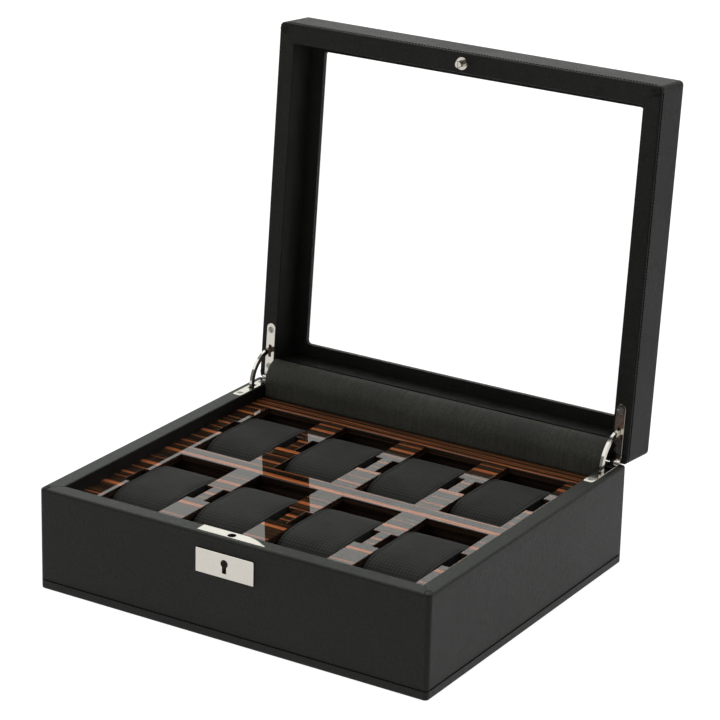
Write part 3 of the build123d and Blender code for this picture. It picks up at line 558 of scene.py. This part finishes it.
# ---------------------------------------------------------------- seams and folds in the covering
def seam_shade_cord(name, z, body, place):
    """A dark cord that fills the seam's channel all round, corners included: painted shade for the recess."""
    inset, radius, corner = 0.42 * MM, 0.47 * MM, 3.5 * MM
    loop = []
    for turn, (sx, sy) in enumerate(((1, 1), (-1, 1), (-1, -1), (1, -1))):
        middle = Vector((sx * (HALF_W - corner), sy * (HALF_D - corner), z))
        for step in range(7):
            angle = math.radians(90 * turn + 15 * step)
            loop.append(place @ (middle + Vector((math.cos(angle), math.sin(angle), 0)) * (corner - inset)))
    batch = Batch()
    closed_tube(batch, loop, radius, place.to_3x3() @ Vector((0, 0, 1)))
    shade_cord = batch.piece(name, SEAM_PAINTED_SHADE, body)


def outside_seam(name, z, body, place):
    """The stitches round the outside of the base or the lid, lying in the channel pressed for them."""
    batch = Batch()
    inset = 0.12 * MM
    corner = 4.2 * MM
    for side in (-1, 1):
        y = side * (HALF_D - inset)
        start, end = Vector((-HALF_W + corner, y, z)), Vector((HALF_W - corner, y, z))
        stitch_row(batch, start, end, Vector((0, side, 0)), place)
        x = side * (HALF_W - inset)
        start, end = Vector((x, -HALF_D + corner, z)), Vector((x, HALF_D - corner, z))
        stitch_row(batch, start, end, Vector((side, 0, 0)), place)
    batch.piece(name, THREAD, body)


def rim_folds(name, side_rim, front_rim, rear_rim, z, up, body, place):
    """Small gathers in the leatherette where it folds round each mitred rim corner, drawn in near-black
    leatherette as painted shade in their creases.
    """
    batch = Batch()
    turn = place.to_3x3()
    draw = random.Random(SEED + len(name))
    rise = Vector((0, 0, up))
    for side in (-1, 1):
        for outer_y, inner_y in ((-HALF_D, -HALF_D + front_rim), (HALF_D, HALF_D - rear_rim)):
            outer = Vector((side * (HALF_W - 1.2 * MM), outer_y * (1 - 1.2 * MM / HALF_D), z))
            inner = Vector((side * (HALF_W - side_rim), inner_y, z))
            along = (inner - outer).normalized()
            for step in range(-3, 4):
                if step == 0:
                    continue
                swing = Matrix.Rotation(step * draw.uniform(0.03, 0.07), 3, "Z")
                heading = swing @ along
                begin = outer + along * draw.uniform(1.6, 3.4) * MM + along.cross(rise) * step * 0.95 * MM
                reach = draw.uniform(7.0, 10.5) * MM * (1 - 0.12 * abs(step))
                path, radii = [], []
                for share in (0.0, 0.15, 0.35, 0.6, 0.82, 1.0):
                    path.append(place @ (begin + heading * (reach * share) - rise * 0.13 * MM))
                    swell = math.sin(math.pi * min(1.0, share * 1.1 + 0.05)) ** 0.7
                    radii.append((0.07 + 0.19 * swell) * MM)
                batch.add(*tube(path, radii, 8, turn @ rise, 0.85))
    batch.piece(name, LEATHER_CREASE_PAINTED_SHADE, body)


# ---------------------------------------------------------------- gusset
def gusset_section():
    """The flap's run in Y and Z, from the deck's rear edge to its tuck at the lid's inner edge."""
    low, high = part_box("hinge_gusset")
    front, top = low.y, high.z
    radius = high.y - low.y
    points = []
    for back, up in ((0.1, 0.0), (-0.05, 2.5), (-0.1, 6.0)):
        points.append((front + back * MM, low.z + up * MM))
    centre_y, centre_z = high.y, top - radius
    for k in range(0, 15):
        angle = math.radians(90) * k / 14
        points.append((centre_y - radius * math.cos(angle), centre_z + radius * math.sin(angle)))
    points.append((centre_y + 0.9 * MM, top - 0.22 * MM))
    points.append((centre_y + 1.35 * MM, top - 0.85 * MM))
    return points


def resample(points, count):
    """The same run with evenly spaced points."""
    points = [Vector(p) for p in points]
    lengths = [0.0]
    for a, b in zip(points, points[1:]):
        lengths.append(lengths[-1] + (b - a).length)
    made = []
    for k in range(count):
        target = lengths[-1] * k / (count - 1)
        i = max(j for j in range(len(lengths) - 1) if lengths[j] <= target + 1e-12)
        share = (target - lengths[i]) / max(lengths[i + 1] - lengths[i], 1e-12)
        made.append(points[i].lerp(points[i + 1], share))
    return made, lengths[-1]


def gusset_seam_shade():
    """A black cord along the seam where the flap meets the lid's inner edge: painted shade for the gap there."""
    low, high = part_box("hinge_gusset")
    batch = Batch()
    steps = 80
    path = []
    for i in range(steps + 1):
        x = low.x + (high.x - low.x) * i / steps
        sway = noise.noise(Vector((x * 22, 5.0, 1.0))) * 0.12 * MM
        path.append(Vector((x, high.y + 0.75 * MM, high.z + 0.05 * MM + sway)))
    batch.add(*tube(path, [0.42 * MM] * len(path), 8, Vector((0, 0, 1))))
    batch.piece("gusset_seam_shade", GUSSET_SHADE_CORD, "lid")


def make_gusset():
    """The leatherette flap behind the deck, slightly uneven, thin and closed."""
    low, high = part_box("hinge_gusset")
    run, length = resample(gusset_section(), 34)
    columns = 121
    thick = 0.9 * MM
    outer, inner, uvs = [], [], []
    for i in range(columns):
        share = i / (columns - 1)
        x = low.x + (high.x - low.x) * share
        for k, point in enumerate(run):
            ahead = (run[min(k + 1, len(run) - 1)] - run[max(k - 1, 0)]).normalized()
            out = Vector((-ahead.y, ahead.x))
            level = k / (len(run) - 1)
            hold = math.sin(math.pi * level) ** 0.7
            wave = noise.noise(Vector((x * 16, level * 2.2, 3.1))) * 0.30 * MM
            wave += noise.noise(Vector((x * 60, level * 4.5, 7.7))) * 0.07 * MM
            edge = max(0.0, 1 - min(share, 1 - share) / 0.04)
            wave -= edge * edge * 0.8 * MM * hold
            spot = point + out * (wave * hold)
            outer.append(Vector((x, spot.x, spot.y)))
            behind = spot - out * thick
            inner.append(Vector((x, behind.x, behind.y)))
            uvs.append((x, level * length))
    rows = len(run)
    count = len(outer)
    faces = []
    for i in range(columns - 1):
        for k in range(rows - 1):
            a, b = i * rows + k, (i + 1) * rows + k
            faces.append((a, b, b + 1, a + 1))
            faces.append((a + count, a + 1 + count, b + 1 + count, b + count))
        for k in (0, rows - 1):
            a, b = i * rows + k, (i + 1) * rows + k
            edge_face = (a, a + count, b + count, b)
            faces.append(edge_face if k == 0 else edge_face[::-1])
    for k in range(rows - 1):
        faces.append((k, k + 1, k + 1 + count, k + count))
        last = (columns - 1) * rows + k
        faces.append((last, last + count, last + 1 + count, last + 1))
    flap = mesh_object("gusset_flap", outer + inner, faces, LEATHER_GUSSET_PAINTED_LIGHT, uvs + uvs)
    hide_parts("hinge_gusset")
    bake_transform(flap)
    return flap


# ---------------------------------------------------------------- cushions
RINGS = 96         # points round a cushion's oval
# room left inside the CAD cushion at its sides, ends and top, for the cloth to swell into
SIDE_ROOM, END_ROOM, TOP_ROOM = 0.15 * MM, 0.3 * MM, 0.6 * MM
# how far the cloth may swell between the seams, and on the sewn side panels
MOST_SWELL, MOST_PANEL_SWELL = 0.7 * MM, 0.3 * MM
# rows across a cushion: millimetres in from its side seam, and how far that row is drawn in from full size
EDGE_ROWS = (
    (0.0, 0.75), (0.6, 0.30), (1.6, 0.24), (2.6, 0.72), (3.6, 0.20),
    (6.0, 0.10), (9.5, 0.05), (13.5, 0.02), (18.5, 0.0),
)
STITCH_ROW = 3
CAP_SHARES = (0.93, 0.82, 0.66, 0.46, 0.24)
SLICES = 2 * len(EDGE_ROWS) + 1


def cushion_oval(half_length, half_height, power, count):
    """Evenly spaced points of a rounded oval, starting at the back and going over the top."""
    dense = []
    for k in range(720):
        angle = 2 * math.pi * k / 720
        c, s = math.cos(angle), math.sin(angle)
        y = half_length * math.copysign(abs(c) ** (2 / power), c)
        z = half_height * math.copysign(abs(s) ** (2 / power), s)
        dense.append((y, z))
    run, length = resample(dense + dense[:1], count + 1)
    return run[:-1], length


def cushion_mesh(name, variant):
    """One cushion about its own middle: a padded band with a flat panel sewn to each side."""
    low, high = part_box("cushion_front_1")
    size = high - low
    half_w = size.x / 2 - SIDE_ROOM
    draw = random.Random(SEED * 31 + variant)
    power = 3.35 + draw.uniform(-0.1, 0.1)
    oval, round_length = cushion_oval(size.y / 2 - END_ROOM, size.z / 2 - TOP_ROOM, power, RINGS)
    points, uvs, faces = [], [], []
    rows = [(-half_w + inset * MM, drawn * MM) for inset, drawn in EDGE_ROWS]
    rows += [(0.0, 0.0)] + [(-x, drawn) for x, drawn in reversed(rows)]
    for x, drawn in rows:
        for k, (y, z) in enumerate(oval):
            share = 1 - drawn / math.hypot(y, z)
            points.append(Vector((x, y * share, z * share)))
            uvs.append((x, round_length * k / RINGS))
    for i in range(SLICES - 1):
        for k in range(RINGS):
            a, b = i * RINGS + k, i * RINGS + (k + 1) % RINGS
            faces.append((a, b, b + RINGS, a + RINGS))
    for side, row in ((-1, 0), (1, SLICES - 1)):
        previous = [row * RINGS + k for k in range(RINGS)]
        for share in CAP_SHARES:
            ring = []
            for k, (y, z) in enumerate(oval):
                dent = 0.35 * MM * math.sin(math.pi * share)
                points.append(Vector((side * (half_w - dent), y * share * 0.975, z * share * 0.975)))
                uvs.append((side * half_w + z * share, y * share))
                ring.append(len(points) - 1)
            for k in range(RINGS):
                n = (k + 1) % RINGS
                face = (previous[k], ring[k], ring[n], previous[n])
                faces.append(face if side == 1 else face[::-1])
            previous = ring
        points.append(Vector((side * (half_w - 0.2 * MM), 0, 0)))
        uvs.append((side * half_w, 0.0))
        middle = len(points) - 1
        for k in range(RINGS):
            n = (k + 1) % RINGS
            face = (previous[k], middle, previous[n])
            faces.append(face if side == 1 else face[::-1])
    return mesh_object(name, points, faces, WEAVE, uvs)


def puff(piece, variant):
    """Swells the cushion between its seams with cloth under pressure, kept within its space."""
    rest = [v.co.copy() for v in piece.data.vertices]
    seam = piece.vertex_groups.new(name="seam")
    seam_rows = (0, STITCH_ROW, SLICES - 1 - STITCH_ROW, SLICES - 1)
    held = [row * RINGS + k for row in seam_rows for k in range(RINGS)]
    seam.add(held, 1.0, "REPLACE")
    draw = random.Random(SEED * 17 + variant)
    for vertex in piece.data.vertices:
        vertex.co += Vector((draw.uniform(-1, 1), draw.uniform(-1, 1), draw.uniform(-1, 1))) * 0.04 * MM
    cloth = piece.modifiers.new("cloth", "CLOTH")
    settings = cloth.settings
    settings.quality = 6
    settings.mass = 0.2
    settings.tension_stiffness = settings.compression_stiffness = 9
    settings.shear_stiffness = 5
    settings.bending_stiffness = 0.35
    settings.use_pressure = True
    settings.uniform_pressure_force = 4.0
    settings.vertex_group_mass = "seam"
    settings.effector_weights.gravity = 0.0
    cloth.collision_settings.use_collision = False
    scene = bpy.context.scene
    cloth.point_cache.frame_start, cloth.point_cache.frame_end = 1, 20
    for step in range(1, 21):
        scene.frame_set(step)
    shown = piece.evaluated_get(bpy.context.evaluated_depsgraph_get())
    moved = [v.co.copy() for v in shown.data.vertices]
    piece.modifiers.remove(cloth)
    scene.frame_set(1)
    band = SLICES * RINGS
    for index, (start, end) in enumerate(zip(rest, moved)):
        shift = end - start
        limit = MOST_SWELL if index < band else MOST_PANEL_SWELL
        if shift.length > limit:
            shift *= limit / shift.length
        spot = start + shift
        most = abs(rest[0].x) + 0.1 * MM
        spot.x = max(-most, min(most, spot.x))
        piece.data.vertices[index].co = spot
    piece.data.update()


def seam_loop(piece, row, inset):
    """The loop of points along one row of the padded band, moved inwards a little."""
    loop = []
    for k in range(RINGS):
        spot = piece.data.vertices[row * RINGS + k].co
        loop.append(spot - Vector((0, spot.y, spot.z)).normalized() * inset)
    return loop


def add_topstitch(batch, loop, pitch):
    """Stitches all round the band, just inside the welt."""
    length = sum((loop[i] - loop[i - 1]).length for i in range(len(loop)))
    run, _ = resample([tuple(p) for p in loop + loop[:1]], int(0.5 + length / pitch))
    for a, b in zip(run, run[1:]):
        centre = (a + b) / 2
        along = (b - a).normalized()
        out = Vector((0, centre.y, centre.z)).normalized()
        out = (out - along * out.dot(along)).normalized()
        stitch(batch, centre, along, out, pitch * 0.68, 0.24 * MM, 0.0)


def make_cushions():
    """Eight cushions from three sewn and puffed patterns, each with welts and top stitching."""
    patterns = []
    for variant in range(3):
        pattern = cushion_mesh(f"cushion_pattern_{variant}", variant)
        puff(pattern, variant)
        welts, threads = Batch(), Batch()
        for edge, inner in ((0, STITCH_ROW), (SLICES - 1, SLICES - 1 - STITCH_ROW)):
            closed_tube(welts, seam_loop(pattern, edge, 0.15 * MM), 0.5 * MM, Vector((1, 0, 0)))
            add_topstitch(threads, seam_loop(pattern, inner, 0.0), 2.4 * MM)
        patterns.append((pattern, welts, threads))
    order = {"front": (0, 1, 2, 0), "rear": (2, 0, 1, 2)}
    for row, picks in order.items():
        for column, pick in enumerate(picks):
            node = f"cushion_{row}_{column + 1}"
            low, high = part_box(node)
            middle = (low + high) / 2
            draw = random.Random(SEED * 101 + column + 10 * len(row))
            tip = Matrix.Rotation(draw.uniform(-0.012, 0.012), 4, "X")
            lean = tip @ Matrix.Rotation(draw.uniform(-0.003, 0.003), 4, "Z")
            place = Matrix.Translation(middle + Vector((0, draw.uniform(-0.8, 0.8) * MM, 0))) @ lean
            pattern, welts, threads = patterns[pick]
            cover = bpy.data.objects.new(f"{node}_cover", pattern.data.copy())
            bpy.context.scene.collection.objects.link(cover)
            cover.data.transform(place)
            smoother = cover.modifiers.new("round", "SUBSURF")
            smoother.levels = smoother.render_levels = 1
            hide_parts(node)
            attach(cover, node)
            trims = (("welt", welts, WEAVE_EDGE), ("stitching", threads, CUSHION_THREAD))
            for label, source, material in trims:
                points = [place @ p for p in source.points]
                piece = mesh_object(f"{node}_{label}", points, source.faces, material)
                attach(piece, node)
    for pattern, _, _ in patterns:
        bpy.data.objects.remove(pattern)


# ---------------------------------------------------------------- studio
# where the bright backdrop stands, then brightness by height, from straight down to straight up, and by
# direction, from opposite the backdrop to its middle
BACKDROP = (-0.52, 0.85, 0.0)
SKY_RISE = ((0.0, 1.0), (0.5, 1.0), (0.70, 1.0), (0.82, 0.55), (1.0, 0.52))
SKY_TURN = ((0.0, 0.24), (0.45, 0.32), (0.78, 1.15), (1.0, 1.34))
SKY_TINT = (0.98, 1.0, 0.97)
# name, place, width, watts
SOFTBOXES = (
    ("softbox_high", (-0.9, -0.8, 1.8), 1.6, 11.0),
    ("softbox_back", (-0.9, 1.3, 1.5), 1.2, 4.0),
    ("softbox_right", (1.6, -0.5, 0.9), 1.2, 1.2),
)


def aim(thing, target):
    """Turns a lamp or camera at a point."""
    thing.rotation_euler = (Vector(target) - thing.location).to_track_quat("-Z", "Y").to_euler()


def make_studio():
    """Pale sweep, soft surroundings and three soft lamps."""
    half = 7.0
    steps = 8
    row = steps + 1
    spread = [-half + 2 * half * i / steps for i in range(row)]
    points = [(x, y, -0.0002) for x in spread for y in spread]
    corners = [i * row + j for i in range(steps) for j in range(steps)]
    faces = [(a, a + row, a + row + 1, a + 1) for a in corners]
    mesh_object("floor_sweep", points, faces, floor_material())

    world = bpy.data.worlds.new("studio")
    bpy.context.scene.world = world
    world.use_nodes = True
    tree = world.node_tree
    where = tree.nodes.new("ShaderNodeTexCoord")
    split = tree.nodes.new("ShaderNodeSeparateXYZ")
    tree.links.new(where.outputs["Generated"], split.inputs[0])
    towards = tree.nodes.new("ShaderNodeVectorMath")
    towards.operation = "DOT_PRODUCT"
    tree.links.new(where.outputs["Generated"], towards.inputs[0])
    towards.inputs[1].default_value = BACKDROP

    def graded(source, low, high, stops, tint=(1.0, 1.0, 1.0)):
        share = tree.nodes.new("ShaderNodeMapRange")
        share.inputs["From Min"].default_value, share.inputs["From Max"].default_value = low, high
        tree.links.new(source, share.inputs["Value"])
        ramp = tree.nodes.new("ShaderNodeValToRGB")
        ramp.color_ramp.interpolation = "EASE"
        tree.links.new(share.outputs["Result"], ramp.inputs["Fac"])
        while len(ramp.color_ramp.elements) < len(stops):
            ramp.color_ramp.elements.new(0.5)
        for element, (position, value) in zip(ramp.color_ramp.elements, stops):
            element.position, element.color = position, (*(value * part for part in tint), 1.0)
        return ramp.outputs["Color"]

    rise = graded(split.outputs["Z"], -1.0, 1.0, SKY_RISE, SKY_TINT)
    turn = graded(towards.outputs["Value"], -1.0, 1.0, SKY_TURN)
    both = tree.nodes.new("ShaderNodeMix")
    both.data_type, both.blend_type = "RGBA", "MULTIPLY"
    both.inputs[0].default_value = 1.0
    tree.links.new(rise, both.inputs[6])
    tree.links.new(turn, both.inputs[7])
    tree.links.new(both.outputs[2], tree.nodes["Background"].inputs["Color"])
    tree.nodes["Background"].inputs["Strength"].default_value = 1.0

    for name, place, size, power in SOFTBOXES:
        light = bpy.data.lights.new(name, "AREA")
        light.shape = "RECTANGLE"
        light.size = light.size_y = size
        light.energy = power
        lamp = bpy.data.objects.new(name, light)
        lamp.location = place
        aim(lamp, (0.0, 0.0, 0.1))
        bpy.context.scene.collection.objects.link(lamp)


def make_camera():
    """A long lens from the front right, a little above the open box."""
    azimuth, elevation, roll = math.radians(31.475), math.radians(19.949), math.radians(1.413)
    shift_right, shift_up, distance = 0.01542, 0.03800, 2.1786
    level = math.cos(elevation)
    back = Vector((math.sin(azimuth) * level, -math.cos(azimuth) * level, math.sin(elevation)))
    right = (-back).cross(Vector((0, 0, 1))).normalized()
    up = right.cross(-back)
    turned_right = right * math.cos(roll) + up * math.sin(roll)
    turned_up = up * math.cos(roll) - right * math.sin(roll)
    place = Vector((0, 0, 0.130)) + back * distance + turned_right * shift_right + turned_up * shift_up
    data = bpy.data.cameras.new("camera")
    data.sensor_width = 36.0
    data.lens = 149.04
    data.clip_end = 60.0
    camera = bpy.data.objects.new("camera", data)
    camera.matrix_world = Matrix((
        (turned_right.x, turned_up.x, back.x, place.x),
        (turned_right.y, turned_up.y, back.y, place.y),
        (turned_right.z, turned_up.z, back.z, place.z),
        (0, 0, 0, 1),
    ))
    bpy.context.scene.collection.objects.link(camera)
    bpy.context.scene.camera = camera


# ---------------------------------------------------------------- build
bpy.context.scene.view_settings.view_transform = "Standard"
make_camera()
make_studio()
paint_frame()
outside_seam("base_seam", BASE_SEAM_Z, "base", STILL)
seam_shade_cord("base_seam_shade_cord", BASE_SEAM_Z, "base", STILL)
outside_seam("lid_seam", LID_SEAM_Z, "lid", TO_OPEN)
seam_shade_cord("lid_seam_shade_cord", LID_SEAM_Z, "lid", TO_OPEN)
rim_folds("base_rim_folds", BASE_RIM, BASE_RIM, BASE_RIM, RIM_Z, 1, "base", STILL)
rim_folds("lid_rim_folds", LID_SIDE_RIM, LID_FRONT_RIM, LID_REAR_RIM, LID_RIM_Z, -1, "lid", TO_OPEN)
make_gusset()
gusset_seam_shade()
make_cushions()
